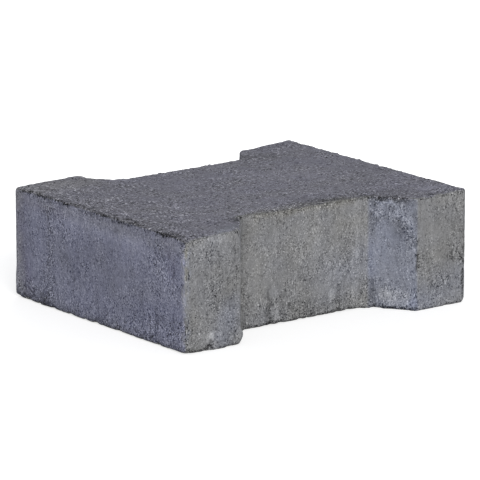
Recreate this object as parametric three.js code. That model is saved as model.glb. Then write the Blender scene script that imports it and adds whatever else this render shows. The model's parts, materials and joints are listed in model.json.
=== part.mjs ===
// Double-T interlocking paving stone, cast in one piece from concrete.
//
// Units are millimetres and +Z is up. The stone lies on its bed. The origin is the centre of
// the bed, X runs along the stone from head to head, and Y across the heads.
//
//       _____         _____
//      |     \_______/     |     Two heads joined by a narrower waist, seen from above. The
//      |                   |     shoulders slope from each head to the waist, so that the
//      |      _______      |     heads of the next course slot into the notches beside the
//      |_____/       \_____|     waist and lock the paving.
//
// The body is a loft: one rounded double-T section, drawn smaller where the arrises round off.

import * as THREE from 'three';
import { toCreasedNormals } from 'three/addons/utils/BufferGeometryUtils.js';

// Plan
const LENGTH = 200; // from end face to end face, along X
const HEAD_WIDTH = 165; // across a head, along Y
const NOTCH_DEPTH = 22.5; // from the flank of a head in to the waist, along Y
const HEAD_FLANK = 37.5; // the straight side of a head, along X
const SHOULDER_RUN = 17.5; // the reach of a sloping shoulder from head to waist, along X

// Upright corners
const END_CORNER_RADIUS = 3; // between an end face and a head's flank
const SHOULDER_CORNER_RADIUS = 3; // between a head's flank and its shoulder
const WAIST_HOLLOW_RADIUS = 8; // between a shoulder and the waist

// Height
const THICKNESS = 65; // from the bed to the wearing face
const TOP_ARRIS_RADIUS = 1.5; // the crisp edge all round the wearing face
const BED_ARRIS_RADIUS = 2.5; // the softer edge all round the bed

// Facets
const CORNER_FACET_ANGLE = THREE.MathUtils.degToRad(12); // most that an upright corner turns in one facet
const ARRIS_FACET_ANGLE = THREE.MathUtils.degToRad(15); // most that an arris turns in one facet
const SHARPEST_RADIUS = 0.4; // what a corner keeps where an arris has taken the rest of its radius
const CREASE_ANGLE = THREE.MathUtils.degToRad(30);

const RIGHT_ANGLE = Math.PI / 2;

// One quarter of the outline, anticlockwise from the end face to the waist.
function quarterCorners() {
  const flankY = HEAD_WIDTH / 2;
  const shoulderX = LENGTH / 2 - HEAD_FLANK;
  return [
    { point: new THREE.Vector2(LENGTH / 2, flankY), radius: END_CORNER_RADIUS },
    { point: new THREE.Vector2(shoulderX, flankY), radius: SHOULDER_CORNER_RADIUS },
    { point: new THREE.Vector2(shoulderX - SHOULDER_RUN, flankY - NOTCH_DEPTH), radius: WAIST_HOLLOW_RADIUS },
  ];
}

function mirrored(corners, signX, signY) {
  return corners.map(({ point, radius }) => ({
    point: new THREE.Vector2(point.x * signX, point.y * signY),
    radius,
  }));
}

// All twelve corners of the double-T, anticlockwise.
function outlineCorners() {
  const quarter = quarterCorners();
  const backwards = quarterCorners().reverse();
  return [
    ...quarter,
    ...mirrored(backwards, -1, 1),
    ...mirrored(quarter, -1, -1),
    ...mirrored(backwards, 1, -1),
  ];
}

// The rounding of one corner between two walk directions, after both walls moved in by `inset`.
function cornerArc(corner, walkIn, walkOut, inset) {
  const side = Math.sign(walkIn.cross(walkOut)); // 1 on an outer corner, -1 in a hollow
  const turn = Math.acos(THREE.MathUtils.clamp(walkIn.dot(walkOut), -1, 1));
  const radius = Math.max(corner.radius - side * inset, SHARPEST_RADIUS);

  const outwardIn = new THREE.Vector2(walkIn.y, -walkIn.x);
  const outwardOut = new THREE.Vector2(walkOut.y, -walkOut.x);
  const mitre = outwardIn.clone().add(outwardOut).divideScalar(1 + outwardIn.dot(outwardOut));
  const centre = corner.point.clone().addScaledVector(mitre, -inset - side * radius);

  const steps = Math.ceil(turn / CORNER_FACET_ANGLE);
  const spoke = outwardIn.clone().multiplyScalar(side * radius);
  const points = [];
  for (let step = 0; step <= steps; step += 1) {
    const angle = (side * turn * step) / steps;
    points.push(spoke.clone().rotateAround(new THREE.Vector2(), angle).add(centre));
  }
  return points;
}

// The double-T section with all its walls moved in by `inset`, anticlockwise.
function sectionOutline(inset) {
  const corners = outlineCorners();
  return corners.flatMap((corner, index) => {
    const before = corners.at(index - 1).point;
    const after = corners[(index + 1) % corners.length].point;
    const walkIn = corner.point.clone().sub(before).normalize();
    const walkOut = after.clone().sub(corner.point).normalize();
    return cornerArc(corner, walkIn, walkOut, inset);
  });
}

// Heights and insets of the loft's sections, from the bed up.
function sectionLevels() {
  const levels = [];
  const steps = Math.ceil(RIGHT_ANGLE / ARRIS_FACET_ANGLE);
  for (let step = 0; step <= steps; step += 1) {
    const angle = (RIGHT_ANGLE * step) / steps;
    levels.push({
      z: BED_ARRIS_RADIUS * (1 - Math.cos(angle)),
      inset: BED_ARRIS_RADIUS * (1 - Math.sin(angle)),
    });
  }
  for (let step = 0; step <= steps; step += 1) {
    const angle = (RIGHT_ANGLE * step) / steps;
    levels.push({
      z: THICKNESS - TOP_ARRIS_RADIUS * (1 - Math.sin(angle)),
      inset: TOP_ARRIS_RADIUS * (1 - Math.cos(angle)),
    });
  }
  return levels;
}

// Closed body through sections that have the same number of points.
function loftGeometry(levels) {
  const rings = levels.map(({ inset }) => sectionOutline(inset));
  const count = rings[0].length;
  const top = count * (levels.length - 1);
  const positions = rings.flatMap((ring, level) => ring.flatMap(({ x, y }) => [x, y, levels[level].z]));

  const faces = [];
  for (let level = 0; level < levels.length - 1; level += 1) {
    for (let point = 0; point < count; point += 1) {
      const a = level * count + point;
      const b = level * count + ((point + 1) % count);
      faces.push(a, b, b + count);
      faces.push(a, b + count, a + count);
    }
  }
  for (const [a, b, c] of THREE.ShapeUtils.triangulateShape(rings[0], [])) {
    faces.push(c, b, a);
  }
  for (const [a, b, c] of THREE.ShapeUtils.triangulateShape(rings.at(-1), [])) {
    faces.push(top + a, top + b, top + c);
  }

  const geometry = new THREE.BufferGeometry();
  geometry.setAttribute('position', new THREE.Float32BufferAttribute(positions, 3));
  geometry.setIndex(faces);
  return toCreasedNormals(geometry, CREASE_ANGLE);
}

const greyConcrete = new THREE.MeshStandardMaterial({
  name: 'grey concrete',
  color: 0x7a7b80,
  roughness: 0.95,
  metalness: 0,
});

const stone = new THREE.Mesh(loftGeometry(sectionLevels()), greyConcrete);
stone.name = 'paving_stone';

const product = new THREE.Group();
product.name = 'double-T paving stone';
product.add(stone);

export default product;
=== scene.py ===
import json
import math

import bpy
import numpy as np
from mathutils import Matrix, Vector, noise


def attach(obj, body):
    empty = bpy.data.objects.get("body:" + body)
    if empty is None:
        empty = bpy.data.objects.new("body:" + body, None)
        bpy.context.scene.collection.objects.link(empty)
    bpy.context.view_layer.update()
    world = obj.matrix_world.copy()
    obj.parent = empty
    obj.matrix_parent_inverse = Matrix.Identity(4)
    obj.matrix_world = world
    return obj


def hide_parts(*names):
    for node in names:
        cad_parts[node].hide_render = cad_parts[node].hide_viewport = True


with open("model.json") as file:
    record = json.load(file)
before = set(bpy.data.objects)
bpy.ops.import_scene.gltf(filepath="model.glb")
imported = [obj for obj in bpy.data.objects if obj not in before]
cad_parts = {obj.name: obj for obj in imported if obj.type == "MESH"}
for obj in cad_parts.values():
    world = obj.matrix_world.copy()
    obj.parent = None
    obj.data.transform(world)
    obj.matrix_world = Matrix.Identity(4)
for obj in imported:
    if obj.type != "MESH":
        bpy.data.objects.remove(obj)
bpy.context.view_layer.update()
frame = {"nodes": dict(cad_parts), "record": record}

# The looks of a double-T paving stone of grey concrete: a sandy top, walls with drag marks and
# pores, crumbled arrises, lime bloom, and blue-grey and warm grey cement.
# Lengths are in metres, except in the places on the stone, which are in millimetres.

MM = 0.001
MOUNTS = {mount["name"]: mount for mount in frame["record"]["mounts"]}
THICKNESS = MOUNTS["wearing_face"]["pos_m"][2]

# ---------------------------------------------------------------- places on the stone


def face_mm(name, axis):
    """Where a flat face lies along one axis, in millimetres."""
    return round(MOUNTS[name]["pos_m"][axis] / MM, 3)


X, Y, Z = 0, 1, 2
LEFT_END = face_mm("end_face_minus_x", X)
RIGHT_END = face_mm("end_face_plus_x", X)
FLANK = face_mm("head_flank_minus_x_minus_y", Y)
WAIST = face_mm("waist_face_minus_y", Y)
TOP = face_mm("wearing_face", Z)

# Each mark is a line from a start to an end, with the reach of its soft border along each axis,
# and its strength. Seen from the front, the end face at -X is on the left, and the head at -X is
# the near one. Borders of TONES, BLUES, VIOLETS and SMOOTH_OR_ROUGH are frayed, and those of
# CRUMBS and SCRATCHES a little.

CHIPS = (  # broken or hollow places; strength: depth in millimetres
    # Near head
    ((LEFT_END, FLANK, 44.0), (LEFT_END, FLANK, 47.0), (2.0, 2.0, 3.0), 0.6),
    ((LEFT_END, FLANK, 14.0), (LEFT_END, FLANK, 14.0), (2.0, 2.0, 3.0), 0.5),
    ((LEFT_END, FLANK, 60.0), (LEFT_END, FLANK, 64.0), (3.0, 3.0, 2.5), 0.7),
    ((-99.5, -82.0, 0.0), (-97.5, FLANK, 0.0), (4.5, 4.5, 4.0), 0.8),
    ((-98.0, FLANK, 0.0), (-90.0, FLANK, 0.0), (4.0, 3.0, 3.0), 0.6),
    ((-82.8, FLANK, 3.0), (-81.4, FLANK, 3.4), (3.0, 4.0, 2.8), 2.4),
    ((LEFT_END, -FLANK, -1.0), (LEFT_END, -FLANK, -1.0), (6.0, 6.0, 6.0), 0.3),
    # Waist
    ((-44.0, WAIST, 22.0), (-44.0, WAIST, 46.0), (26.0, 12.0, 18.0), 1.9),
    ((-25.8, WAIST, 1.0), (-25.8, WAIST, 1.0), (3.0, 3.0, 3.5), 0.9),
    ((24.5, WAIST, 0.5), (24.5, WAIST, 0.5), (3.0, 3.0, 3.0), 0.8),
    # Shoulder and far head
    ((64.6, FLANK, 24.0), (64.6, FLANK, 33.0), (2.2, 2.4, 3.0), 1.1),
    ((63.0, FLANK, 45.0), (63.0, FLANK, 45.0), (1.8, 1.8, 4.0), 0.6),
    ((75.0, FLANK, 16.0), (78.0, FLANK, 12.0), (2.5, 2.0, 3.0), 0.5),
    ((99.0, FLANK, 20.0), (99.0, FLANK, 20.0), (3.0, 2.5, 3.0), 0.7),
    ((99.0, FLANK, 40.0), (99.0, FLANK, 40.0), (2.5, 2.0, 3.0), 0.5),
    ((RIGHT_END, FLANK, -1.0), (RIGHT_END, FLANK, -1.0), (5.0, 5.0, 5.0), 0.3),
)

BURRS = (  # concrete squeezed out at the foot; strength: height in millimetres
    ((LEFT_END, 82.0, 5.0), (LEFT_END, 82.0, 12.0), (4.0, 4.0, 8.0), 0.5),
    ((LEFT_END, 60.0, 0.0), (LEFT_END, 10.0, 0.0), (5.0, 6.0, 6.0), 0.25),
    ((-80.0, FLANK, 0.0), (-74.0, FLANK, 0.0), (4.0, 5.0, 4.0), 0.7),
    ((-61.5, -82.0, 6.0), (-61.5, -82.0, 6.0), (4.0, 5.0, 5.0), 1.6),
    ((44.0, -60.5, 0.0), (61.0, -80.5, 0.0), (5.0, 5.0, 6.0), 1.6),
    ((66.0, FLANK, 0.0), (93.0, FLANK, 0.0), (9.0, 6.0, 9.0), 2.4),
)

RISES = (  # where the top stands a little proud or worn low; strength: height in millimetres
    # Back edge
    ((LEFT_END, 82.0, TOP), (LEFT_END, 76.0, TOP), (16.0, 16.0, 6.0), -0.6),
    ((-60.0, 79.0, TOP), (-58.0, 76.5, TOP), (6.0, 6.0, 6.0), 1.2),
    ((-57.0, 75.5, TOP), (-50.0, 66.5, TOP), (7.0, 7.0, 6.0), 0.6),
    ((-47.0, 62.0, TOP), (-42.0, 60.0, TOP), (5.0, 6.0, 5.0), 0.6),
    ((60.0, 82.0, TOP), (70.0, 82.0, TOP), (15.0, 16.0, 6.0), -0.85),
    ((90.0, 83.0, TOP), (RIGHT_END, 83.0, TOP), (7.0, 6.0, 6.0), 0.35),
    ((99.0, 81.5, TOP), (99.0, 81.5, TOP), (5.0, 5.0, 6.0), 0.4),
    # Right end
    ((RIGHT_END, 74.0, TOP), (RIGHT_END, -82.0, TOP), (14.0, 12.0, 6.0), 0.8),
    ((RIGHT_END, 53.0, TOP), (RIGHT_END, 51.0, TOP), (7.0, 4.0, 5.0), -0.25),
    ((RIGHT_END, 29.0, TOP), (RIGHT_END, 29.0, TOP), (7.0, 4.0, 5.0), -0.2),
    ((RIGHT_END, 4.0, TOP), (RIGHT_END, -5.0, TOP), (7.0, 4.0, 5.0), -0.3),
    ((RIGHT_END, -56.0, TOP), (RIGHT_END, -60.0, TOP), (7.0, 6.0, 5.0), 0.2),
    # Front edge
    ((LEFT_END, -82.0, TOP), (-98.0, -82.0, TOP), (12.0, 10.0, 6.0), -1.1),
    ((-62.0, -82.0, TOP), (-46.0, WAIST, TOP), (16.0, 12.0, 6.0), 0.6),
    ((-46.0, -59.0, TOP), (-36.0, -59.0, TOP), (14.0, 6.0, 6.0), 0.5),
    ((98.5, -81.5, TOP), (98.5, -81.5, TOP), (6.0, 6.0, 6.0), 0.5),
)

CRISP = (  # where the top arris is whole; strength: 1 is quite smooth
    ((-98.0, -FLANK, TOP), (-62.0, -FLANK, TOP), (6.0, 6.0, 6.0), 0.9),
    ((64.0, -FLANK, TOP), (99.0, -FLANK, TOP), (6.0, 6.0, 6.0), 0.9),
    ((99.0, -81.5, TOP), (96.0, FLANK, TOP), (6.0, 6.0, 6.0), 0.9),
)

CRUMBS = (  # where the concrete is broken or crumbled; strength: 1 is full
    # Along the top arris of the end face at -X: a broken line that wanders up and down, dented, and
    # darker with painted shade
    ((LEFT_END, 75.5, 64.0), (LEFT_END, 67.0, 63.8), (3.0, 2.4, 2.0), 0.8),
    ((LEFT_END, 62.5, 63.9), (LEFT_END, 59.0, 64.2), (3.0, 2.0, 1.6), 0.6),
    ((LEFT_END, 58.5, 64.2), (LEFT_END, 47.5, 64.2), (3.0, 2.2, 1.8), 0.85),
    ((LEFT_END, 41.0, 64.4), (LEFT_END, 39.5, 64.2), (3.0, 2.0, 1.6), 0.7),
    ((LEFT_END, 34.5, 64.6), (LEFT_END, 29.5, 63.6), (3.4, 2.8, 2.8), 0.85),
    ((-97.0, 24.5, TOP), (-97.0, 21.5, TOP), (3.5, 3.0, 3.0), 1.0),
    ((-98.0, 11.0, TOP), (-98.0, 9.0, TOP), (2.8, 2.6, 2.0), 0.9),
    ((LEFT_END, 2.0, TOP), (LEFT_END, -6.0, 64.8), (3.4, 2.6, 2.2), 0.95),
    ((LEFT_END, -7.0, 64.6), (LEFT_END, -11.0, 64.2), (3.0, 2.0, 1.6), 0.5),
    ((LEFT_END, -20.0, 63.6), (LEFT_END, -30.0, 63.2), (3.0, 2.2, 1.8), 0.85),
    ((-95.0, -22.0, TOP), (-95.0, -25.0, TOP), (3.6, 3.0, 2.0), 1.1),
    ((-98.2, -30.0, TOP), (-98.2, -39.5, TOP), (3.2, 2.8, 2.0), 1.1),
    ((-95.0, -31.0, TOP), (-95.0, -32.0, TOP), (2.8, 2.4, 2.0), 0.9),
    ((LEFT_END, -54.0, 64.6), (LEFT_END, -61.0, 64.2), (3.4, 2.6, 2.8), 1.0),
    ((-98.8, -60.0, TOP), (-98.8, -72.0, TOP), (2.8, 2.4, 1.8), 0.9),
    ((LEFT_END, -62.0, 63.9), (LEFT_END, -70.0, 63.7), (3.0, 2.0, 1.6), 0.6),
    ((LEFT_END, -79.0, 64.4), (-99.5, -82.0, 60.0), (2.6, 2.6, 3.0), 0.5),
    ((LEFT_END, 46.0, 58.0), (LEFT_END, 44.0, 20.0), (3.0, 2.0, 4.0), 0.3),
    # Near head
    ((-98.0, FLANK, 63.8), (-91.0, FLANK, 63.4), (3.4, 2.6, 2.6), 0.3),
    ((-68.0, FLANK, 64.0), (-63.0, FLANK, 63.6), (3.0, 2.4, 1.8), 0.3),
    ((-64.0, FLANK, 64.0), (-61.0, -80.5, 54.0), (3.0, 3.0, 4.0), 0.35),
    ((-61.5, -82.0, 34.0), (-61.5, -82.0, 12.0), (1.8, 2.4, 4.0), 0.2),
    ((-82.7, FLANK, 56.0), (-82.3, FLANK, 46.0), (1.7, 2.0, 3.0), 0.3),
    ((-82.0, FLANK, 36.0), (-81.0, FLANK, 31.0), (2.2, 2.0, 3.0), 0.4),
    ((-77.9, FLANK, 55.0), (-75.4, FLANK, 40.0), (1.5, 2.0, 3.0), 0.3),
    ((-66.6, FLANK, 60.0), (-64.6, FLANK, 38.0), (1.6, 2.0, 4.0), 0.35),
    ((-99.0, FLANK, 46.0), (-97.5, FLANK, 40.0), (2.6, 2.2, 3.0), 0.6),
    ((LEFT_END, FLANK, 20.0), (LEFT_END, FLANK, 4.0), (4.0, 4.0, 5.0), 0.5),
    ((-98.0, FLANK, 0.8), (-85.0, FLANK, 1.0), (3.0, 3.0, 1.8), 0.8),
    ((-84.0, FLANK, 2.4), (-81.6, FLANK, 2.2), (2.2, 3.0, 2.2), 1.1),
    ((-80.0, FLANK, 1.0), (-66.0, FLANK, 1.0), (3.0, 3.0, 1.6), 0.6),
    # Waist
    ((-59.0, -76.0, TOP), (-46.0, -59.5, TOP), (4.4, 4.4, 3.0), 0.55),
    ((-45.0, -57.5, 64.8), (40.0, -58.5, 64.8), (4.0, 2.6, 1.8), 0.12),
    ((-42.0, WAIST, 0.8), (-24.0, WAIST, 0.8), (3.0, 3.0, 2.0), 0.9),
    ((-24.0, WAIST, 0.8), (42.0, WAIST, 0.8), (3.0, 3.0, 2.2), 0.7),
    # Shoulder and far head
    ((46.0, -60.5, 64.0), (61.5, -81.0, 63.0), (3.0, 3.0, 4.0), 0.06),
    ((40.0, -59.0, TOP), (56.0, -72.0, TOP), (5.0, 5.0, 3.0), 0.05),
    ((62.8, FLANK, 58.0), (62.8, FLANK, 54.0), (1.8, 2.2, 3.0), 0.6),
    ((65.0, FLANK, 32.5), (65.0, FLANK, 25.0), (1.4, 2.4, 2.0), 0.7),
    ((62.8, FLANK, 12.0), (62.8, FLANK, 2.0), (3.0, 3.0, 4.0), 0.4),
    ((50.0, -66.0, 1.0), (61.0, -80.5, 1.4), (3.0, 3.0, 2.2), 1.0),
    ((66.0, FLANK, 64.6), (98.0, FLANK, 64.6), (3.0, 2.4, 1.6), 0.5),
    ((86.0, FLANK, 29.0), (90.0, FLANK, 28.0), (3.6, 3.0, 4.0), 0.55),
    ((85.0, FLANK, 58.0), (92.0, FLANK, 56.0), (4.0, 3.0, 4.0), 0.25),
    ((97.5, -82.0, 22.0), (98.0, -82.0, 5.0), (3.0, 3.0, 4.0), 0.5),
    ((75.0, FLANK, 16.0), (78.0, FLANK, 12.0), (2.4, 2.2, 2.4), 0.6),
)

TONES = (  # strength: how much lighter (above 0) or darker
    # End face at -X
    ((LEFT_END, 74.0, 48.0), (LEFT_END, 62.0, 20.0), (3.0, 16.0, 20.0), -0.05),
    ((LEFT_END, 27.0, 34.0), (LEFT_END, -4.0, 38.0), (3.0, 8.0, 7.0), -0.1),
    ((LEFT_END, 30.0, 56.0), (LEFT_END, -40.0, 53.0), (3.0, 11.0, 9.0), 0.25),
    ((LEFT_END, -34.0, 52.0), (LEFT_END, -38.0, 40.0), (3.0, 8.0, 12.0), 0.15),
    ((LEFT_END, -58.0, 57.0), (LEFT_END, -72.0, 46.0), (3.0, 8.0, 9.0), -0.2),
    ((LEFT_END, 48.0, 57.0), (LEFT_END, 47.0, 20.0), (3.0, 3.0, 5.0), -0.2),
    # A dark line along the top arris: painted shadow of the crumbled edge
    ((LEFT_END, 60.0, 64.0), (LEFT_END, -78.0, 64.0), (3.0, 5.0, 2.4), -0.3),
    ((LEFT_END, 82.0, 2.0), (LEFT_END, 48.0, 2.0), (3.0, 8.0, 10.0), -0.45),
    ((LEFT_END, 70.0, 56.0), (LEFT_END, 68.0, 18.0), (3.0, 5.0, 8.0), 0.1),
    ((LEFT_END, 34.0, 32.0), (LEFT_END, 22.0, 26.0), (3.0, 7.0, 7.0), -0.2),
    ((LEFT_END, 82.0, 56.0), (LEFT_END, 80.0, 20.0), (3.0, 8.0, 10.0), 0.2),
    ((LEFT_END, 50.0, 0.0), (LEFT_END, -80.0, 0.0), (3.0, 10.0, 8.0), -0.3),
    ((LEFT_END, -60.0, 16.0), (LEFT_END, -74.0, 14.0), (3.0, 10.0, 7.0), -0.2),
    # Near head, with its shoulder and the hollow beside it
    ((-80.0, FLANK, 44.0), (-72.0, FLANK, 12.0), (16.0, 3.0, 20.0), -0.2),
    # Painted highlight down the corner between the end face and the near flank
    ((LEFT_END, FLANK, 62.0), (LEFT_END, FLANK, 8.0), (3.5, 2.5, 3.0), 0.1),
    ((-99.5, FLANK, 57.0), (-99.5, FLANK, 53.0), (2.4, 2.0, 3.0), 0.3),
    ((-99.5, FLANK, 33.0), (-99.5, FLANK, 28.0), (2.4, 2.0, 3.0), 0.3),
    ((-86.0, FLANK, 62.0), (-76.0, FLANK, 62.0), (5.0, 2.0, 3.0), 0.25),
    ((-94.0, FLANK, 54.0), (-92.0, FLANK, 10.0), (7.0, 3.0, 8.0), -0.1),
    # Painted light on the near head's shoulder, which faces away from the key lamp
    ((-60.0, -79.0, 32.0), (-48.0, -63.0, 32.0), (4.0, 4.0, 60.0), 0.4),
    ((-66.0, FLANK, 61.0), (-65.0, FLANK, 40.0), (4.0, 2.0, 5.0), -0.15),
    # Painted shade on the waist in the corner beside the near head
    ((-43.0, WAIST, 60.0), (-43.0, WAIST, 3.0), (10.0, 4.0, 5.0), -0.2),
    ((-99.0, FLANK, 20.0), (-98.0, FLANK, 4.0), (5.0, 3.0, 6.0), -0.15),
    ((-98.5, FLANK, 7.0), (-98.5, FLANK, 2.0), (2.4, 2.4, 3.0), 0.35),
    ((-83.0, FLANK, 8.0), (-81.4, FLANK, 6.4), (3.4, 2.0, 4.0), 1.2),
    # Waist
    ((-20.9, WAIST, 58.0), (-20.9, WAIST, 20.0), (2.0, 2.0, 5.0), 0.2),
    ((-6.0, WAIST, 56.0), (4.0, WAIST, 50.0), (6.0, 2.0, 6.0), -0.1),
    ((-8.0, WAIST, 34.0), (2.0, WAIST, 20.0), (12.0, 2.0, 12.0), -0.1),
    ((18.3, WAIST, 58.0), (18.3, WAIST, 12.0), (2.6, 2.0, 5.0), 0.2),
    ((36.5, WAIST, 62.0), (36.5, WAIST, 10.0), (5.0, 2.0, 5.0), 0.25),
    ((-25.6, WAIST, 18.0), (-25.4, WAIST, 0.0), (2.8, 3.0, 4.0), -0.6),
    ((-15.3, WAIST, 16.0), (-15.3, WAIST, 0.0), (2.4, 3.0, 4.0), -0.35),
    ((24.3, WAIST, 14.0), (24.3, WAIST, 0.0), (2.4, 3.0, 3.0), -0.3),
    ((-20.3, WAIST, 11.0), (-20.3, WAIST, 3.0), (2.4, 2.0, 3.0), 0.5),
    ((-10.0, WAIST, 6.0), (14.0, WAIST, 5.0), (6.0, 3.0, 10.0), -0.3),
    ((18.0, WAIST, 12.0), (18.0, WAIST, 5.0), (3.4, 2.0, 3.0), 0.4),
    ((-38.5, WAIST, 27.5), (-38.0, WAIST, 24.5), (1.5, 2.0, 2.0), 0.4),
    ((-17.5, WAIST, 36.0), (-17.0, WAIST, 36.0), (1.6, 2.0, 1.5), 0.8),
    ((37.4, WAIST, 35.0), (37.4, WAIST, 32.5), (1.5, 2.0, 2.0), 0.4),
    # Hollow and shoulder
    # Painted shade in the hollow between the waist and the far shoulder, near its top and its foot
    ((46.5, -61.5, 60.0), (47.5, -62.5, 44.0), (5.0, 5.0, 8.0), -0.35),
    ((47.0, -62.0, 14.0), (47.0, -62.0, 2.0), (5.0, 5.0, 6.0), -0.4),
    ((47.0, -62.5, 64.0), (61.0, -81.0, 63.5), (4.0, 5.0, 4.0), -0.3),
    ((48.5, -64.5, 60.0), (54.0, -72.0, 59.0), (5.0, 6.0, 5.0), -0.2),
    ((49.5, -65.5, 44.0), (53.0, -70.5, 38.0), (5.0, 6.0, 8.0), 0.1),
    ((55.5, -74.0, 56.0), (60.5, -80.0, 52.0), (4.0, 5.0, 4.0), 0.25),
    ((56.0, -74.0, 49.0), (60.5, -80.0, 41.0), (5.0, 6.0, 7.0), -0.2),
    ((62.3, -82.0, 58.0), (62.3, -82.0, 36.0), (1.8, 2.2, 4.0), -0.3),
    ((51.0, -67.5, 9.0), (60.5, -80.0, 7.0), (4.0, 5.0, 5.0), 0.4),
    ((63.4, FLANK, 32.0), (63.4, FLANK, 24.0), (2.0, 2.4, 2.4), -0.9),
    # Far head
    ((72.0, FLANK, 50.0), (92.0, FLANK, 16.0), (18.0, 3.0, 24.0), -0.05),
    ((88.0, FLANK, 50.0), (97.0, FLANK, 44.0), (8.0, 2.0, 9.0), -0.2),
    ((91.0, FLANK, 30.0), (91.4, FLANK, 29.0), (1.8, 2.0, 1.8), 0.6),
    ((96.0, FLANK, 23.5), (96.4, FLANK, 23.0), (1.6, 2.0, 1.6), 1.2),
    ((98.0, FLANK, 32.0), (98.0, FLANK, 5.0), (3.6, 4.0, 5.0), -0.45),
    ((68.0, FLANK, 56.0), (76.0, FLANK, 34.0), (7.0, 3.0, 9.0), 0.1),
    # Top
    ((-40.0, -56.0, TOP), (34.0, -55.0, TOP), (9.0, 7.0, 3.0), -0.3),
    ((-52.0, -64.0, TOP), (-47.0, WAIST, TOP), (6.0, 7.0, 3.0), -0.6),
    ((-97.0, -56.0, TOP), (-96.0, -78.0, TOP), (5.0, 6.0, 3.0), -0.3),
    ((64.0, 56.0, TOP), (50.0, 64.0, TOP), (18.0, 12.0, 3.0), -0.3),
    ((50.0, 2.0, TOP), (22.0, 22.0, TOP), (24.0, 15.0, 3.0), 0.15),
    ((10.0, -50.0, TOP), (68.0, -64.0, TOP), (16.0, 18.0, 3.0), -0.2),
    ((-76.0, 66.0, TOP), (-82.0, 58.0, TOP), (13.0, 13.0, 3.0), 0.25),
    ((-72.0, -77.5, TOP), (-65.0, -78.0, TOP), (6.0, 4.0, 3.0), 0.3),
    ((42.0, -57.0, TOP), (58.0, -73.0, TOP), (9.0, 7.0, 3.0), -0.35),
    ((66.0, -78.0, TOP), (96.0, -78.0, TOP), (6.0, 5.0, 3.0), -0.15),
    ((-96.0, 44.0, TOP), (-95.0, -72.0, TOP), (4.0, 8.0, 3.0), -0.25),
    ((80.0, -64.0, TOP), (96.0, -66.0, TOP), (5.0, 5.0, 3.0), 0.4),
)

SCRATCHES = (  # thin lines, and painted light and shade on edges; strength: how much lighter (above 0) or darker
    # End face at -X
    ((LEFT_END, -80.2, 57.0), (LEFT_END, -80.2, 40.0), (2.0, 1.8, 4.0), 0.15),
    ((LEFT_END, -80.2, 32.0), (LEFT_END, -80.2, 6.0), (2.0, 1.8, 4.0), 0.35),
    # Near head and the hollow beside it
    # Painted shade on the rounded corner between the end face and the near flank
    ((-99.5, -82.4, 56.0), (-99.5, -82.4, 12.0), (1.4, 1.4, 4.0), -0.35),
    # Painted light on the edge between the near flank and its shoulder, which faces away from the key
    # lamp
    ((-62.4, -82.0, 58.0), (-62.4, -82.0, 8.0), (1.8, 1.8, 4.0), 0.15),
    # Painted light where the near head's shoulder meets the waist
    ((-46.3, -61.8, 60.0), (-46.3, -61.8, 8.0), (2.2, 2.2, 4.0), 0.3),
    # Shoulder and far head
    ((47.0, -62.6, 63.6), (50.6, -67.2, 59.9), (1.3, 1.6, 1.2), 0.5),
    ((49.5, -65.8, 62.7), (54.8, -72.7, 61.5), (1.3, 1.6, 1.0), 0.4),
    ((52.3, -69.4, 64.7), (55.6, -73.6, 59.2), (1.3, 1.6, 1.2), 0.5),
    ((51.0, -67.8, 60.0), (53.6, -71.0, 64.0), (1.2, 1.5, 1.2), 0.4),
    ((80.5, FLANK, 2.2), (87.0, FLANK, 3.0), (1.4, 2.0, 1.2), 0.5),
    # Top
    ((18.7, 24.6, TOP), (28.8, 16.9, TOP), (1.5, 1.5, 2.0), 0.5),
    ((-2.7, 44.1, TOP), (-1.0, 43.0, TOP), (1.6, 1.6, 2.0), 0.9),
    ((1.8, 30.9, TOP), (3.0, 30.0, TOP), (1.6, 1.6, 2.0), 0.9),
)

FLECKED = (  # strength: more light flecks (above 0) or fewer, with more dark pits
    ((-96.0, FLANK, 32.0), (-66.0, FLANK, 32.0), (16.0, 4.0, 60.0), -0.5),
    ((70.0, FLANK, 36.0), (96.0, FLANK, 36.0), (16.0, 4.0, 60.0), -1.0),
    ((LEFT_END, 76.0, 32.0), (LEFT_END, -76.0, 32.0), (4.0, 20.0, 60.0), -0.3),
    ((-30.0, WAIST, 32.0), (30.0, WAIST, 32.0), (20.0, 4.0, 60.0), 0.2),
)

BLUES = (  # strength: towards blue-grey (above 0) or warm grey
    # End face at -X
    ((LEFT_END, -40.0, 8.0), (LEFT_END, -76.0, 14.0), (6.0, 22.0, 20.0), 0.15),
    ((LEFT_END, 82.0, 60.0), (LEFT_END, 78.0, 10.0), (6.0, 10.0, 12.0), -0.4),
    ((LEFT_END, 80.0, 60.0), (LEFT_END, -80.0, 60.0), (4.0, 5.0, 9.0), -0.2),
    ((LEFT_END, -81.0, 60.0), (LEFT_END, -81.0, 6.0), (2.0, 2.4, 4.0), -0.5),
    # Near head
    ((-86.0, FLANK, 48.0), (-76.0, FLANK, 16.0), (22.0, 6.0, 26.0), 0.1),
    ((-98.8, FLANK, 58.0), (-98.8, FLANK, 10.0), (3.0, 2.0, 4.0), 0.25),
    ((-68.0, FLANK, 22.0), (-74.0, FLANK, 6.0), (12.0, 6.0, 12.0), 0.25),
    # Waist
    ((14.0, WAIST, 24.0), (42.0, WAIST, 24.0), (24.0, 6.0, 24.0), 0.2),
    # Shoulder and far head
    ((70.0, FLANK, 6.0), (92.0, FLANK, 14.0), (18.0, 6.0, 20.0), 0.3),
    ((51.0, -67.5, 9.0), (60.0, -79.2, 8.0), (5.0, 6.0, 7.0), -0.2),
    # Top
    ((-90.0, 70.0, TOP), (-60.0, 70.0, TOP), (26.0, 22.0, 6.0), -0.2),
    ((-30.0, -56.0, TOP), (30.0, -56.0, TOP), (12.0, 9.0, 6.0), -0.3),
)

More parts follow.
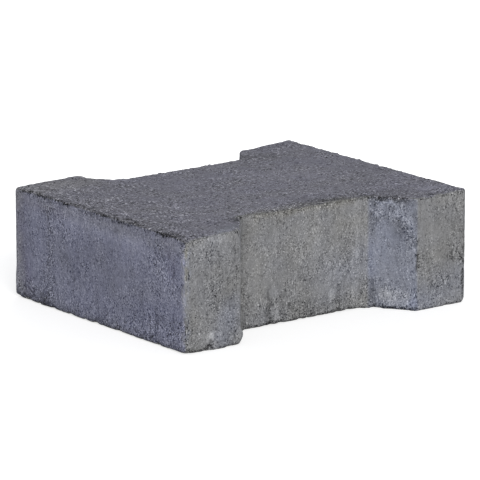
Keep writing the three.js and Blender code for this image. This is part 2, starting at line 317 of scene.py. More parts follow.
VIOLETS = (  # where the blue-grey has a brownish violet in it; strength: 1 is full
    ((LEFT_END, 80.0, 60.0), (LEFT_END, 70.0, 10.0), (4.0, 12.0, 14.0), 0.8),
    ((LEFT_END, 70.0, 58.0), (LEFT_END, 30.0, 58.0), (4.0, 6.0, 6.0), 0.6),
    ((LEFT_END, -66.0, 60.0), (LEFT_END, -72.0, 46.0), (4.0, 7.0, 8.0), 0.6),
    ((-74.0, -79.0, TOP), (-60.0, -72.0, TOP), (7.0, 6.0, 5.0), -0.8),
)

SMOOTH_OR_ROUGH = (  # strength: coarser grain (above 0) or a smoother film of cement
    # End face at -X
    ((LEFT_END, 46.0, 8.0), (LEFT_END, 48.0, 58.0), (5.0, 9.0, 9.0), 0.45),
    ((LEFT_END, 36.0, 56.0), (LEFT_END, 30.0, 48.0), (5.0, 8.0, 8.0), 0.3),
    ((LEFT_END, 72.0, 36.0), (LEFT_END, 64.0, 20.0), (5.0, 9.0, 12.0), -0.35),
    ((LEFT_END, 30.0, 36.0), (LEFT_END, 6.0, 42.0), (5.0, 10.0, 9.0), -0.35),
    ((LEFT_END, -4.0, 30.0), (LEFT_END, -44.0, 34.0), (5.0, 12.0, 12.0), -0.3),
    ((LEFT_END, -58.0, 52.0), (LEFT_END, -72.0, 34.0), (5.0, 12.0, 12.0), 0.5),
    ((LEFT_END, -52.0, 12.0), (LEFT_END, -76.0, 10.0), (5.0, 14.0, 12.0), 0.6),
    ((LEFT_END, 78.0, 8.0), (LEFT_END, -50.0, 4.0), (5.0, 8.0, 8.0), 0.3),
    # Near head
    ((-94.0, FLANK, 34.0), (-70.0, FLANK, 34.0), (10.0, 4.0, 40.0), -0.1),
    ((-98.0, FLANK, 40.0), (-92.0, FLANK, 22.0), (6.0, 4.0, 10.0), 0.15),
    ((-84.0, FLANK, 56.0), (-78.0, FLANK, 24.0), (9.0, 4.0, 10.0), 0.25),
    ((-92.0, FLANK, 10.0), (-90.0, FLANK, 8.0), (7.0, 4.0, 8.0), -0.4),
    ((-80.0, FLANK, 8.0), (-66.0, FLANK, 8.0), (8.0, 4.0, 7.0), 0.3),
    # Waist
    ((-36.0, WAIST, 32.0), (36.0, WAIST, 32.0), (20.0, 4.0, 60.0), -0.08),
    ((-36.0, WAIST, 52.0), (-20.0, WAIST, 50.0), (8.0, 4.0, 8.0), -0.2),
    ((-16.0, WAIST, 48.0), (-2.0, WAIST, 40.0), (9.0, 4.0, 9.0), 0.25),
    ((-32.0, WAIST, 24.0), (-22.0, WAIST, 22.0), (9.0, 4.0, 12.0), -0.2),
    ((4.0, WAIST, 24.0), (34.0, WAIST, 30.0), (9.0, 4.0, 10.0), 0.25),
    ((-20.0, WAIST, 6.0), (40.0, WAIST, 6.0), (8.0, 4.0, 7.0), 0.35),
    # Shoulder and far head
    ((85.0, FLANK, 60.0), (94.0, FLANK, 58.0), (6.0, 4.0, 5.0), 0.1),
    ((88.0, FLANK, 30.0), (96.0, FLANK, 26.0), (7.0, 4.0, 7.0), 0.45),
    ((98.0, FLANK, 24.0), (98.0, FLANK, 8.0), (5.0, 4.0, 6.0), 0.5),
    ((48.0, -64.0, 42.0), (54.0, -72.0, 42.0), (7.0, 8.0, 9.0), -0.3),
    ((51.0, -67.0, 22.0), (58.0, -76.0, 24.0), (7.0, 8.0, 8.0), -0.2),
    ((56.0, -74.0, 60.0), (61.0, -80.0, 43.0), (5.0, 6.0, 8.0), 0.5),
    ((52.0, -69.0, 8.0), (60.0, -79.0, 8.0), (7.0, 8.0, 8.0), 0.4),
    ((68.0, FLANK, 50.0), (84.0, FLANK, 30.0), (14.0, 4.0, 20.0), -0.38),
    ((84.0, FLANK, 18.0), (78.0, FLANK, 8.0), (8.0, 4.0, 8.0), 0.35),
    # Top
    ((-72.0, -76.0, TOP), (-60.0, -70.0, TOP), (7.0, 6.0, 5.0), -0.4),
    ((-96.0, 76.0, TOP), (-90.0, -76.0, TOP), (12.0, 12.0, 5.0), 0.35),
    ((-84.0, -72.0, TOP), (-66.0, -76.0, TOP), (10.0, 10.0, 5.0), 0.2),
    ((-50.0, 10.0, TOP), (-20.0, 30.0, TOP), (28.0, 28.0, 5.0), -0.1),
    ((-80.0, 60.0, TOP), (-70.0, -40.0, TOP), (24.0, 24.0, 5.0), 0.2),
    ((60.0, 40.0, TOP), (80.0, 20.0, TOP), (24.0, 30.0, 5.0), -0.2),
    ((-40.0, -52.0, TOP), (50.0, -56.0, TOP), (10.0, 10.0, 5.0), 0.3),
    ((60.0, -72.0, TOP), (98.0, -78.0, TOP), (10.0, 10.0, 5.0), 0.4),
)

# ---------------------------------------------------------------- skin of the stone
# Sizes and distances are in metres. Heights of the relief are in millimetres.

SKIN_STEP = 1.06 * MM  # side of the small quads that carry the relief
LEVEL = (0.35, 0.85)  # the upward part of a normal, where a face begins to be level and where it is
TOP_ARRIS = (3.0 * MM, 0.8 * MM)  # distance from the sharp edge, from no wear to full wear
FOOT_ARRIS = (4.5 * MM, 1.0 * MM)
FRAY = 2.4 * MM  # how far the border of a patch wanders
THIN_FRAY = 0.8 * MM  # the same for crumbs and thin lines
FRAY_LUMP = 5 * MM
SEED_SHIFT = 17.3  # moves the noise of each seed to another place, so that no two look alike
FRAY_SEEDS = (21, 22, 23)  # one for each axis
PORE_SPACING = 6.5 * MM
PORE_RADIUS = (0.26, 0.08)  # share of the spacing, from the rim of a pore to its floor

# Height or depth of each part of the relief
WANDER = 0.12  # slow waves of the walls
SWELL = 0.07  # soft lumps everywhere
TOP_GRAIN = 0.16
WALL_GRAIN = 0.10
BED_GRAIN = 0.20
DRAG = 0.08  # upright marks of the mould
ARRIS_CRUMBLE = 0.45  # what has broken off the top arris
ARRIS_GRAINS = 0.45  # single grains that stand up beside it
FOOT_SLUMP = 0.5
FOOT_NOTCHES = 0.9
PORES = 0.3
CRUMBLED = 0.4

# How much of each layer of the material there is
# Painted shade along the foot, where the walls meet the floor
FOOT_SHADE = 0.12
# Painted shade in the crumbled concrete
CRUMB_SHADE = 0.2  # along the top arris only
CRUMB_SHADE_HEIGHT = (60 * MM, 63 * MM)
WALL_BLUE = 0.2
SHOULDER_BLUE = 0.5  # added to WALL_BLUE, as is END_BLUE
END_BLUE = 0.7
TOP_BLUE = 0.55
WIDE_BLUE_PATCHES = 0.1
SMALL_BLUE_PATCHES = 0.08
PLAIN_ROUGHNESS = 0.36
ROUGH_PATCHES = 0.25
TOP_ARRIS_ROUGHNESS = 0.1  # added to PLAIN_ROUGHNESS, as is FOOT_ARRIS_ROUGHNESS
FOOT_ARRIS_ROUGHNESS = 0.3
TOP_ARRIS_CRUMBS = 0.12
FOOT_ARRIS_CRUMBS = 0.3


def blank_skin():
    """The CAD solid's surface, as even small quads."""
    cad = frame["nodes"]["paving_stone"]
    stone = bpy.data.objects.new("weathered_stone", cad.data.copy())
    bpy.context.scene.collection.objects.link(stone)
    remesh = stone.modifiers.new("even_quads", "REMESH")
    remesh.mode = "VOXEL"
    remesh.voxel_size = SKIN_STEP
    remesh.use_smooth_shade = True
    bpy.context.view_layer.update()
    evaluated = stone.evaluated_get(bpy.context.evaluated_depsgraph_get())
    stone.data = bpy.data.meshes.new_from_object(evaluated)
    stone.modifiers.clear()
    stone.data.name = "weathered_stone"
    stone.data.materials.clear()
    return stone


def vectors(items, attribute):
    values = np.empty(len(items) * 3)
    items.foreach_get(attribute, values)
    return values.reshape(-1, 3)


def smooth_step(values, start, end):
    """0 before start and 1 after end, with a smooth slope between them. End may be below start."""
    t = np.clip((values - start) / (end - start), 0.0, 1.0)
    return t * t * (3.0 - 2.0 * t)


def ripple(points, size, seed):
    """Smooth random values between about -1 and 1. Size is the length of a lump, or one for each axis."""
    shifted = points / np.asarray(size) + SEED_SHIFT * seed
    return np.array([noise.noise(p) for p in shifted])


def cells(points, size, seed):
    """Distance to the nearest of points strewn at random, as a share of their mean spacing."""
    shifted = points / np.asarray(size) + SEED_SHIFT * seed
    return np.array([noise.voronoi(p)[0][0] for p in shifted])


def past_wall(points, name):
    """How far points lie past one wall, with all four quarters of the plan folded onto the first."""
    mount = MOUNTS[name]
    return (np.abs(points[:, :2]) - mount["pos_m"][:2]) @ np.array(mount["axis"][:2])


def depth_in_plan(points):
    """How far points lie in from the nearest upright wall."""
    waist = past_wall(points, "waist_face_plus_y")
    shoulders = past_wall(points, "shoulder_plus_x_plus_y")
    ends = past_wall(points, "end_face_plus_x")
    flanks = past_wall(points, "head_flank_plus_x_plus_y")
    return -np.maximum.reduce([ends, flanks, np.minimum(waist, shoulders)])


def mark(points, start_mm, end_mm, reach_mm):
    """1 on the line from start to end, falling smoothly to 0 at its reach."""
    reach = np.array(reach_mm) * MM
    start = np.array(start_mm) * MM / reach
    span = np.array(end_mm) * MM / reach - start
    offset = points / reach - start
    share = np.clip(offset @ span / max(span @ span, 1e-9), 0.0, 1.0)
    return smooth_step(np.linalg.norm(offset - share[:, None] * span, axis=1), 1.0, 0.0)


def marks(points, places):
    """The sum of many marks, each times its strength."""
    return sum(strength * mark(points, start, end, reach) for start, end, reach, strength in places)


class Skin:
    """The points of the blank skin, and how far each is part of the top, the walls and the arrises."""

    def __init__(self, mesh):
        self.place = vectors(mesh.vertices, "co")
        self.facing = vectors(mesh.vertex_normals, "vector")
        self.height = self.place[:, 2]
        self.top = smooth_step(self.facing[:, 2], *LEVEL)
        self.bed = smooth_step(-self.facing[:, 2], *LEVEL)
        self.wall = 1.0 - self.top - self.bed

        inset = depth_in_plan(self.place)
        self.top_arris = smooth_step(np.hypot(inset, THICKNESS - self.height), *TOP_ARRIS)
        self.foot_arris = smooth_step(np.hypot(inset, self.height), *FOOT_ARRIS)

        stray = np.stack([ripple(self.place, FRAY_LUMP, seed) for seed in FRAY_SEEDS], axis=1)
        self.frayed = self.place + FRAY * stray
        self.less_frayed = self.place + THIN_FRAY * stray

        self.pores = smooth_step(cells(self.place, PORE_SPACING, seed=7), *PORE_RADIUS)
        self.crumbs = np.clip(marks(self.less_frayed, CRUMBS), 0.0, 1.0)


def relief(skin):
    """How far each point moves out of the blank skin, in millimetres."""
    wander = ripple(skin.place, 45 * MM, seed=1)
    swell = ripple(skin.place, 9 * MM, seed=2)
    grain = ripple(skin.place, 2.3 * MM, seed=3)
    drag = ripple(skin.place, (2.2 * MM, 2.2 * MM, 16 * MM), seed=4)
    crumble = smooth_step(ripple(skin.place, (2.4 * MM, 2.4 * MM, 2.0 * MM), seed=5), -0.1, 0.5)
    slump = ripple(skin.place, (11 * MM, 11 * MM, 6 * MM), seed=6)
    notches = smooth_step(ripple(skin.place, (5 * MM, 5 * MM, 9 * MM), seed=9), 0.05, 0.45)
    proud = smooth_step(ripple(skin.place, 2.6 * MM, seed=8), 0.2, 0.6)
    broken_arris = skin.top_arris * (1.0 - marks(skin.place, CRISP))

    height = WANDER * wander * skin.wall
    height += SWELL * swell
    height += (TOP_GRAIN * skin.top + WALL_GRAIN * skin.wall + BED_GRAIN * skin.bed) * grain
    height += DRAG * drag * skin.wall
    height -= ARRIS_CRUMBLE * crumble * broken_arris
    height += ARRIS_GRAINS * proud * broken_arris * skin.top
    height += FOOT_SLUMP * slump * skin.foot_arris
    height -= FOOT_NOTCHES * notches * skin.foot_arris
    height -= PORES * skin.pores * (1.0 - skin.bed)
    height -= CRUMBLED * skin.crumbs * (0.6 + grain)
    height -= marks(skin.place, CHIPS) * (1.0 + 0.5 * grain)
    height += marks(skin.place, BURRS)
    return height


def weather(stone):
    """Gives the blank skin its relief, and writes the layers that the material reads."""
    mesh = stone.data
    skin = Skin(mesh)
    moved = skin.place + skin.facing * relief(skin)[:, None] * MM
    upper_half = smooth_step(skin.height, 0.5 * THICKNESS, THICKNESS)
    moved[:, 2] += marks(skin.place, RISES) * upper_half * MM
    moved[:, 2] = np.maximum(moved[:, 2], 0.0)
    mesh.vertices.foreach_set("co", moved.ravel())
    mesh.update()

    worn = skin.top * (1.0 - wall_film(skin.frayed))
    arris_crumbs = FOOT_ARRIS_CRUMBS * skin.foot_arris + TOP_ARRIS_CRUMBS * skin.top_arris
    write_layer(mesh, "top", worn)
    write_layer(mesh, "end", on_end(skin))
    write_layer(mesh, "violet", np.clip(worn + marks(skin.frayed, VIOLETS), 0.0, 1.0))
    write_layer(mesh, "pore", skin.pores)
    write_layer(mesh, "tone", tone(skin))
    write_layer(mesh, "blue", np.clip(blueness(skin, worn), 0.0, 1.0))
    write_layer(mesh, "rough", np.clip(roughness(skin), 0.05, 1.2))
    write_layer(mesh, "flecked", marks(skin.place, FLECKED))
    write_layer(mesh, "crumbs", np.maximum(skin.crumbs, arris_crumbs))


def wall_film(points):
    """Where the film of cement on the waist and the flanks at -Y laps over the arris onto the top.

    It leaves out the shoulders and the corners, and laps furthest at the near end of the waist.
    """
    along = np.abs(points[:, 0])
    past_shoulder = smooth_step(np.abs(along - 54 * MM), 6 * MM, 8 * MM)
    before_end = smooth_step(along, 98 * MM, 94 * MM)
    wide_lap = mark(points, (-45.0, -58.0, TOP), (-34.0, -58.0, TOP), (16.0, 20.0, 20.0))
    lap = 1.0 * MM + 2.5 * MM * wide_lap
    on_lap = smooth_step(depth_in_plan(points) - lap, 1.6 * MM, 0.2 * MM)
    return past_shoulder * before_end * on_lap * (points[:, 1] < 0.0)


def on_end(skin):
    """1 on the end faces and on the near half of their rounded corners."""
    return smooth_step(np.abs(skin.facing[:, 0]), 0.7, 0.9) * (np.abs(skin.place[:, 0]) > 90 * MM)


def tone(skin):
    """How much lighter or darker the concrete is than plain, painted light and shade included."""
    # Painted shade: darker within 3 mm of the floor
    foot = smooth_step(skin.height, 3.0 * MM, 0.6 * MM) * (1.0 - skin.bed)
    change = marks(skin.frayed, TONES) + marks(skin.less_frayed, SCRATCHES) - FOOT_SHADE * foot
    # Painted shade in the crumbled concrete just under the top
    return change - CRUMB_SHADE * skin.crumbs * smooth_step(skin.height, *CRUMB_SHADE_HEIGHT)


def blueness(skin, worn):
    """How blue the cement film is: most on the ends, less on the top and the shoulders towards -X."""
    along = np.abs(skin.place[:, 0])
    looks_left = smooth_step(-skin.facing[:, 0], 0.15, 0.4)
    on_shoulder = smooth_step(along, 44 * MM, 46 * MM) * (along < 66 * MM) * looks_left
    walls = WALL_BLUE + SHOULDER_BLUE * on_shoulder + END_BLUE * on_end(skin)
    patches = WIDE_BLUE_PATCHES * ripple(skin.place, 26 * MM, seed=11)
    patches += SMALL_BLUE_PATCHES * ripple(skin.place, 9 * MM, seed=16)
    return walls + (TOP_BLUE - walls) * worn + marks(skin.frayed, BLUES) + patches


def roughness(skin):
    """How coarse the grain is: 0 is a smooth film of cement."""
    rough = PLAIN_ROUGHNESS + ROUGH_PATCHES * ripple(skin.place, 8 * MM, seed=12)
    rough += ROUGH_PATCHES * ripple(skin.place, 22 * MM, seed=13)
    placed = marks(skin.frayed, SMOOTH_OR_ROUGH) + TOP_ARRIS_ROUGHNESS * skin.top_arris
    rough += placed + FOOT_ARRIS_ROUGHNESS * skin.foot_arris
    top_patches = ROUGH_PATCHES * ripple(skin.place, 12 * MM, seed=14)
    top_patches += ROUGH_PATCHES * ripple(skin.place, 5 * MM, seed=15)
    return rough + top_patches * skin.top


def write_layer(mesh, name, values):
    layer = mesh.attributes.new(name, "FLOAT", "POINT")
    layer.data.foreach_set("value", values.astype(np.float32))


# ---------------------------------------------------------------- material

WARM_GREY = (0.2180, 0.2155, 0.2045, 1.0)
SLATE_GREY = (0.1950, 0.2130, 0.2790, 1.0)  # on the shoulders, and faintly on the other walls
BLUE_GREY = (0.1970, 0.2055, 0.2840, 1.0)  # on the end faces
VIOLET_GREY = (0.1760, 0.1765, 0.2560, 1.0)  # on the top, and here and there on the ends
GRAIN_GREY = (0.2100, 0.2100, 0.2100, 1.0)  # what one step of grain adds, half mixed with the film
DARKEST = (0.02, 0.02, 0.02)
TOP_SHADE = 0.85  # how much darker the top is than the walls

# Patterns are spread round 0.5: a lot evenly from 0 to 1, and a noise mostly near the middle.
LOT_SPREAD = 0.5
NOISE_SPREAD = 0.2

# How much lighter or darker each pattern makes the concrete
FILM_TONE = 0.05
CLOUD_TONE = 0.08
BAND_TONE = 0.07
STREAK_TONE = 0.055
DASH_TONE = 0.26
GRIT_TONE = 0.15
DROP_TONE = 0.35
# Pits: painted shade in holes too small for the skin
PIT_TONE = -0.55
FLECK_TONE = 1.15
TOP_FLECK_TONE = 0.8  # added to FLECK_TONE on the top
# Painted shade in the pits of crumbled concrete
CRUMB_PIT_SHADE = 0.6  # how much darker pits are where the concrete is crumbled
# Painted shade in the pores
PORE_SHADE = 0.3
DARKEST_FILM = 0.1  # the least that the film is dimmed to

# Heights of the bumps, in millimetres
WALL_SAND_BUMP = 0.15
TOP_SAND_BUMP = 0.4
FILM_BUMP = 0.4
FLECK_BUMP = 0.12
PIT_BUMP = -0.4

# Roughness of the surface, from where the noise of the film is low to where it is high
FILM_ROUGHNESS = (0.84, 0.98)

# The noise level past which a pit, a fleck or a drop starts, and how far past it is full
PIT_LEVEL = 0.265
PIT_BORDER = -0.04
FLECK_LEVEL = 0.695
FLECK_BORDER = 0.04
DROP_LEVEL = 0.73
DROP_BORDER = 0.04


class Nodes:
    """Adds nodes to a material: each method returns the output socket of the node it made."""

    def __init__(self, material):
        material.use_nodes = True
        self.tree = material.node_tree
        self.tree.nodes.clear()

    def add(self, kind, inputs, output=0, **settings):
        node = self.tree.nodes.new(kind)
        for name, value in settings.items():
            setattr(node, name, value)
        for name, value in inputs.items():
            if isinstance(value, bpy.types.NodeSocket):
                self.tree.links.new(value, node.inputs[name])
            else:
                node.inputs[name].default_value = value
        return node.outputs[output]

    def end(self, surface):
        output = self.tree.nodes.new("ShaderNodeOutputMaterial")
        self.tree.links.new(surface, output.inputs["Surface"])

    def place(self):
        return self.add("ShaderNodeTexCoord", {}, "Object")

    def moved(self, place, scale, shift):
        """The place, with each axis scaled, and then shifted so that two patterns don't match."""
        inputs = {0: place, 1: scale, 2: (shift, shift, shift)}
        return self.add("ShaderNodeVectorMath", inputs, operation="MULTIPLY_ADD")

    def layer(self, name):
        return self.add("ShaderNodeAttribute", {}, "Fac", attribute_name=name)

    def noise(self, place, size, detail=2.0, roughness=0.5):
        inputs = {"Vector": place, "Scale": 1.0 / size, "Detail": detail, "Roughness": roughness}
        return self.add("ShaderNodeTexNoise", inputs)

    def lot(self, place, size):
        """A random number from 0 to 1 for each grain of a given size."""
        colour = self.add("ShaderNodeTexVoronoi", {"Vector": place, "Scale": 1.0 / size}, "Color")
        return self.add("ShaderNodeSeparateColor", {"Color": colour}, "Red")

    def blots(self, place, size, level, border):
        """Ragged blots where a noise passes a level: above it, or below it if the border is negative."""
        noise_value = self.noise(place, size, detail=1.0)
        return self.spread(noise_value, level, self.math("ADD", level, border))

    def math(self, operation, a, b=0.0):
        return self.add("ShaderNodeMath", {0: a, 1: b}, operation=operation)

    def sum(self, *values):
        total = values[0]
        for value in values[1:]:
            total = self.math("ADD", total, value)
        return total

    def product(self, *values):
        total = values[0]
        for value in values[1:]:
            total = self.math("MULTIPLY", total, value)
        return total

    def spread(self, value, low, high, to_low=0.0, to_high=1.0):
        """Maps low to to_low and high to to_high, with a smooth slope between them."""
        ends = {"From Min": low, "From Max": high, "To Min": to_low, "To Max": to_high}
        return self.add("ShaderNodeMapRange", {"Value": value, **ends}, interpolation_type="SMOOTHSTEP")

    def swing(self, value, half_range, amount):
        """Maps a noise round 0.5 to a tone between about -amount and amount."""
        low, high = 0.5 - half_range, 0.5 + half_range
        ends = {"From Min": low, "From Max": high, "To Min": -amount, "To Max": amount}
        return self.add("ShaderNodeMapRange", {"Value": value, **ends}, clamp=False)

    def peaked(self, lot):
        """A tone from a lot: mostly small and now and then strong."""
        even = self.swing(lot, LOT_SPREAD, 1.0)
        return self.product(even, even, even, 1.5)

    def sparse(self, lot):
        """Like peaked, with fewer strong ones."""
        even = self.swing(lot, LOT_SPREAD, 1.0)
        return self.product(self.peaked(lot), even, even, 1.3)

    def mix(self, factor, a, b):
        return self.add("ShaderNodeMix", {0: factor, 6: a, 7: b}, 2, data_type="RGBA")

    def shaded(self, colour, tone):
        """A colour made lighter or darker by a tone round 1."""
        return self.add("ShaderNodeVectorMath", {0: colour, 1: tone}, operation="MULTIPLY")


class Patterns:
    """What the material is mixed from: the skin's layers, and noises that stand in the stone."""

    def __init__(self, nodes):
        self.nodes = nodes
        self.top = nodes.layer("top")
        self.end = nodes.layer("end")
        self.rough = nodes.layer("rough")
        self.crumbs = nodes.layer("crumbs")
        self.flecked = nodes.layer("flecked")
        self.wall = nodes.math("SUBTRACT", 1.0, self.top)
        self.place = nodes.place()
        self.add_grains()
        self.add_streaks()
        self.add_blots()

    def moved(self, scale, shift):
        return self.nodes.moved(self.place, scale, shift)

    def add_grains(self):
        nodes = self.nodes
        self.wall_sand = nodes.lot(self.moved((1.0, 1.0, 0.8), 0.31), 0.55 * MM)
        self.top_sand = nodes.lot(self.moved((1.0, 1.0, 1.0), 0.37), 0.85 * MM)
        self.top_grit = nodes.lot(self.moved((1.0, 1.0, 1.0), 0.41), 1.9 * MM)
        self.dashes = nodes.lot(self.moved((1.0, 1.0, 0.22), 0.53), 0.7 * MM)

        # How strongly the grain shows
        on_walls = nodes.sum(nodes.product(self.rough, 0.8), nodes.product(self.end, 0.09), 0.15)
        on_top = nodes.sum(nodes.product(self.rough, 1.6), 0.22)
        self.wall_grain = nodes.product(self.wall, on_walls)
        self.top_grain = nodes.product(self.top, on_top)

    def add_streaks(self):
        """A small number for Z draws a pattern out upright."""
        nodes = self.nodes
        self.film = nodes.noise(self.moved((1.0, 1.0, 0.7), 0.47), 3.0 * MM, detail=2.0, roughness=0.6)
        self.bands = nodes.noise(self.moved((1.0, 1.0, 0.12), 0.67), 12 * MM, detail=2.0)
        self.streaks = nodes.noise(self.moved((1.0, 1.0, 0.07), 0.79), 2.4 * MM, detail=1.0)
        self.clouds = nodes.noise(self.place, 30 * MM, detail=3.0)

    def add_blots(self):
        nodes = self.nodes
        pit_level = self.level(PIT_LEVEL, rough=0.09, crumbs=0.3, flecked=-0.018)
        fleck_level = self.level(FLECK_LEVEL, rough=-0.08, crumbs=-0.05, flecked=-0.04)
        self.pits = nodes.blots(self.moved((1.5, 1.5, 0.8), 0.71), 1.2 * MM, pit_level, PIT_BORDER)
        self.flecks = nodes.blots(self.moved((1.4, 1.4, 0.8), 0.83), 1.1 * MM, fleck_level, FLECK_BORDER)
        self.drops = nodes.blots(self.moved((1.0, 1.0, 0.6), 0.93), 2.4 * MM, DROP_LEVEL, DROP_BORDER)

    def level(self, plain, rough, crumbs, flecked):
        """The level past which a blot starts, moved by three layers."""
        nodes = self.nodes
        return nodes.sum(
            plain,
            nodes.product(self.rough, rough),
            nodes.product(self.crumbs, crumbs),
            nodes.product(self.flecked, flecked),
        )


def slow_tone(nodes, patterns):
    """How light the film of cement is: 1 is plain."""
    light = nodes.sum(
        1.0,
        nodes.layer("tone"),
        nodes.swing(patterns.film, NOISE_SPREAD, FILM_TONE),
        nodes.swing(patterns.clouds, NOISE_SPREAD, CLOUD_TONE),
        nodes.product(patterns.wall, nodes.swing(patterns.bands, NOISE_SPREAD, BAND_TONE)),
        nodes.product(patterns.wall, nodes.swing(patterns.streaks, NOISE_SPREAD, STREAK_TONE)),
    )
    return nodes.math("MAXIMUM", light, DARKEST_FILM)


def grain_tone(nodes, patterns):
    """What single grains and flecks add to the film, and what the painted shade of pits takes away."""
    fleck_tone = nodes.sum(FLECK_TONE, nodes.product(patterns.top, TOP_FLECK_TONE))
    return nodes.sum(
        nodes.product(patterns.wall_grain, nodes.peaked(patterns.wall_sand)),
        nodes.product(patterns.wall_grain, nodes.swing(patterns.dashes, LOT_SPREAD, DASH_TONE)),
        nodes.product(patterns.top_grain, nodes.sparse(patterns.top_sand)),
        nodes.product(patterns.top_grain, nodes.peaked(patterns.top_grit), GRIT_TONE),
        nodes.product(patterns.flecks, fleck_tone),
        nodes.product(patterns.drops, patterns.wall, DROP_TONE),
        nodes.product(patterns.pits, PIT_TONE),
    )


def concrete_colour(nodes, patterns):
    cool = nodes.mix(patterns.end, SLATE_GREY, BLUE_GREY)
    cool = nodes.mix(nodes.layer("violet"), cool, VIOLET_GREY)
    film = nodes.mix(nodes.layer("blue"), WARM_GREY, cool)
    grain = nodes.shaded(nodes.mix(0.5, GRAIN_GREY, film), grain_tone(nodes, patterns))
    film = nodes.shaded(film, slow_tone(nodes, patterns))
    colour = nodes.add("ShaderNodeVectorMath", {0: film, 1: grain}, operation="ADD")
    colour = nodes.add("ShaderNodeVectorMath", {0: colour, 1: DARKEST}, operation="MAXIMUM")

    # Painted shade: pits are darker where the concrete is crumbled
    crumbled_pits = nodes.product(patterns.pits, patterns.crumbs, CRUMB_PIT_SHADE)
    crumb_shade = nodes.math("SUBTRACT", 1.0, crumbled_pits)
    # Painted shade in the pores
    pore_shade = nodes.math("SUBTRACT", 1.0, nodes.product(nodes.layer("pore"), PORE_SHADE))
    top_shade = nodes.spread(patterns.top, 0.0, 1.0, 1.0, TOP_SHADE)
    return nodes.shaded(colour, nodes.product(crumb_shade, pore_shade, top_shade))


def fine_relief(nodes, patterns):
    """The bumps that are too small for the skin."""
    height = nodes.sum(
        nodes.product(patterns.wall_sand, patterns.wall_grain, WALL_SAND_BUMP),
        nodes.product(patterns.top_sand, patterns.top_grain, TOP_SAND_BUMP),
        nodes.product(patterns.film, FILM_BUMP),
        nodes.product(patterns.flecks, FLECK_BUMP),
        nodes.product(patterns.pits, PIT_BUMP),
    )
    return nodes.add("ShaderNodeBump", {"Height": height, "Distance": 1.0 * MM, "Strength": 1.0})


def concrete():
    material = bpy.data.materials.new("cast_concrete")
    nodes = Nodes(material)
    patterns = Patterns(nodes)
    dullness = nodes.spread(patterns.film, 0.5 - NOISE_SPREAD, 0.5 + NOISE_SPREAD, *FILM_ROUGHNESS)
    surface = nodes.add("ShaderNodeBsdfPrincipled", {
        "Base Color": concrete_colour(nodes, patterns),
        "Roughness": dullness,
        "Normal": fine_relief(nodes, patterns),
        "Specular IOR Level": 0.3,
    })
    nodes.end(surface)
    return material


# ---------------------------------------------------------------- studio

CAMERA_AZIMUTH = math.radians(37.27)  # to the left of straight ahead
CAMERA_ELEVATION = math.radians(13.72)
CAMERA_DISTANCE = 2.54
CAMERA_LENS = 332.9  # in millimetres, as is the sensor
CAMERA_SENSOR = 36.0
CAMERA_CLIP = 50.0
AIM = Vector((0.0, 0.0, 0.0345))

AMBIENT = 0.44
AMBIENT_TINT = (0.96, 0.98, 1.03, 1.0)
WHITE = (1.0, 1.0, 1.0, 1.0)
LAMP_DISTANCE = 2.5

FLOOR_RADIUS = 1.5
FLOOR_SIDES = 96
FLOOR_GREY = (0.55, 0.55, 0.55, 1.0)
GLOW_START, GLOW_END = 0.10, 0.40  # distance from the origin between which the floor turns white
GLOW_NEAR, GLOW_FAR = 0.62, 1.0  # how brightly it glows for the camera


def add_camera():
    away = Vector((
        -math.sin(CAMERA_AZIMUTH) * math.cos(CAMERA_ELEVATION),
        -math.cos(CAMERA_AZIMUTH) * math.cos(CAMERA_ELEVATION),
        math.sin(CAMERA_ELEVATION),
    ))
    camera = bpy.data.objects.new("camera", bpy.data.cameras.new("camera"))
    camera.data.lens = CAMERA_LENS
    camera.data.sensor_width = CAMERA_SENSOR
    camera.data.clip_end = CAMERA_CLIP
    camera.location = AIM + away * CAMERA_DISTANCE
    camera.rotation_euler = (-away).to_track_quat("-Z", "Y").to_euler()
    bpy.context.scene.collection.objects.link(camera)
    bpy.context.scene.camera = camera


def add_lamp(name, direction, size, watts, colour):
    """A round lamp that shines on the origin from a direction."""
    lamp = bpy.data.lights.new(name, "AREA")
    lamp.shape = "DISK"
    lamp.size = size
    lamp.energy = watts
    lamp.color = colour
    body = bpy.data.objects.new(name, lamp)
    body.location = Vector(direction).normalized() * LAMP_DISTANCE
    body.rotation_euler = (-body.location).to_track_quat("-Z", "Y").to_euler()
    bpy.context.scene.collection.objects.link(body)


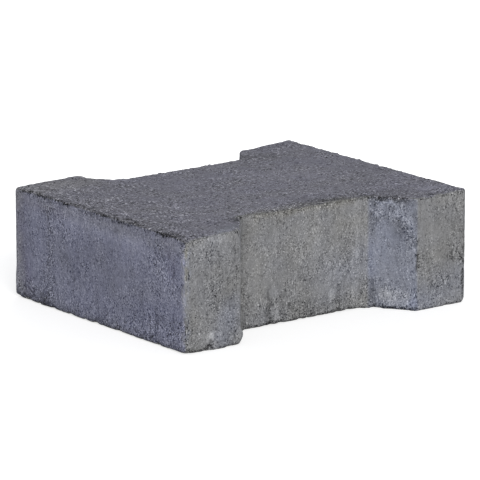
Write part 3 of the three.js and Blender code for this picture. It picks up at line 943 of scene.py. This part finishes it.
def add_world():
    """Dim light from all round, in front of a backdrop that is plain white to the camera."""
    world = bpy.data.worlds.new("studio")
    bpy.context.scene.world = world
    world.use_nodes = True
    tree = world.node_tree
    tree.nodes.clear()
    ambient = tree.nodes.new("ShaderNodeBackground")
    ambient.inputs["Color"].default_value = AMBIENT_TINT
    ambient.inputs["Strength"].default_value = AMBIENT
    white = tree.nodes.new("ShaderNodeBackground")
    white.inputs["Color"].default_value = WHITE
    seen = tree.nodes.new("ShaderNodeLightPath")
    choice = tree.nodes.new("ShaderNodeMixShader")
    output = tree.nodes.new("ShaderNodeOutputWorld")
    tree.links.new(seen.outputs["Is Camera Ray"], choice.inputs[0])
    tree.links.new(ambient.outputs[0], choice.inputs[1])
    tree.links.new(white.outputs[0], choice.inputs[2])
    tree.links.new(choice.outputs[0], output.inputs["Surface"])


def add_floor():
    """A round pale floor that keeps the stone's soft shadow and fades to white around it."""
    angles = np.linspace(0, 2 * math.pi, FLOOR_SIDES, endpoint=False)
    ring = [(FLOOR_RADIUS * math.cos(angle), FLOOR_RADIUS * math.sin(angle), 0.0) for angle in angles]
    mesh = bpy.data.meshes.new("floor")
    mesh.from_pydata(ring, [], [list(range(FLOOR_SIDES))])
    floor = bpy.data.objects.new("floor", mesh)
    bpy.context.scene.collection.objects.link(floor)
    mesh.materials.append(pale_paper())


def pale_paper():
    material = bpy.data.materials.new("pale_floor")
    nodes = Nodes(material)
    plain = nodes.add("ShaderNodeBsdfDiffuse", {"Color": FLOOR_GREY})
    distance = nodes.add("ShaderNodeVectorMath", {0: nodes.place()}, "Value", operation="LENGTH")
    glow = nodes.spread(distance, GLOW_START, GLOW_END, GLOW_NEAR, GLOW_FAR)
    seen = nodes.add("ShaderNodeLightPath", {}, "Is Camera Ray")
    light = nodes.add("ShaderNodeEmission", {"Strength": nodes.math("MULTIPLY", glow, seen)})
    both = nodes.add("ShaderNodeAddShader", {0: plain, 1: light})
    nodes.end(both)
    return material


bpy.context.scene.view_settings.view_transform = "Standard"
add_camera()
add_world()
add_lamp("key", direction=(-0.40, -0.80, 0.42), size=1.3, watts=47.0, colour=(1.0, 0.985, 0.96))
add_lamp("back_fill", direction=(0.7, 0.75, 0.5), size=1.5, watts=12.0, colour=(1.0, 1.0, 1.0))
add_floor()

stone = blank_skin()
weather(stone)
stone.data.materials.append(concrete())
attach(stone, "root")
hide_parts("paving_stone")
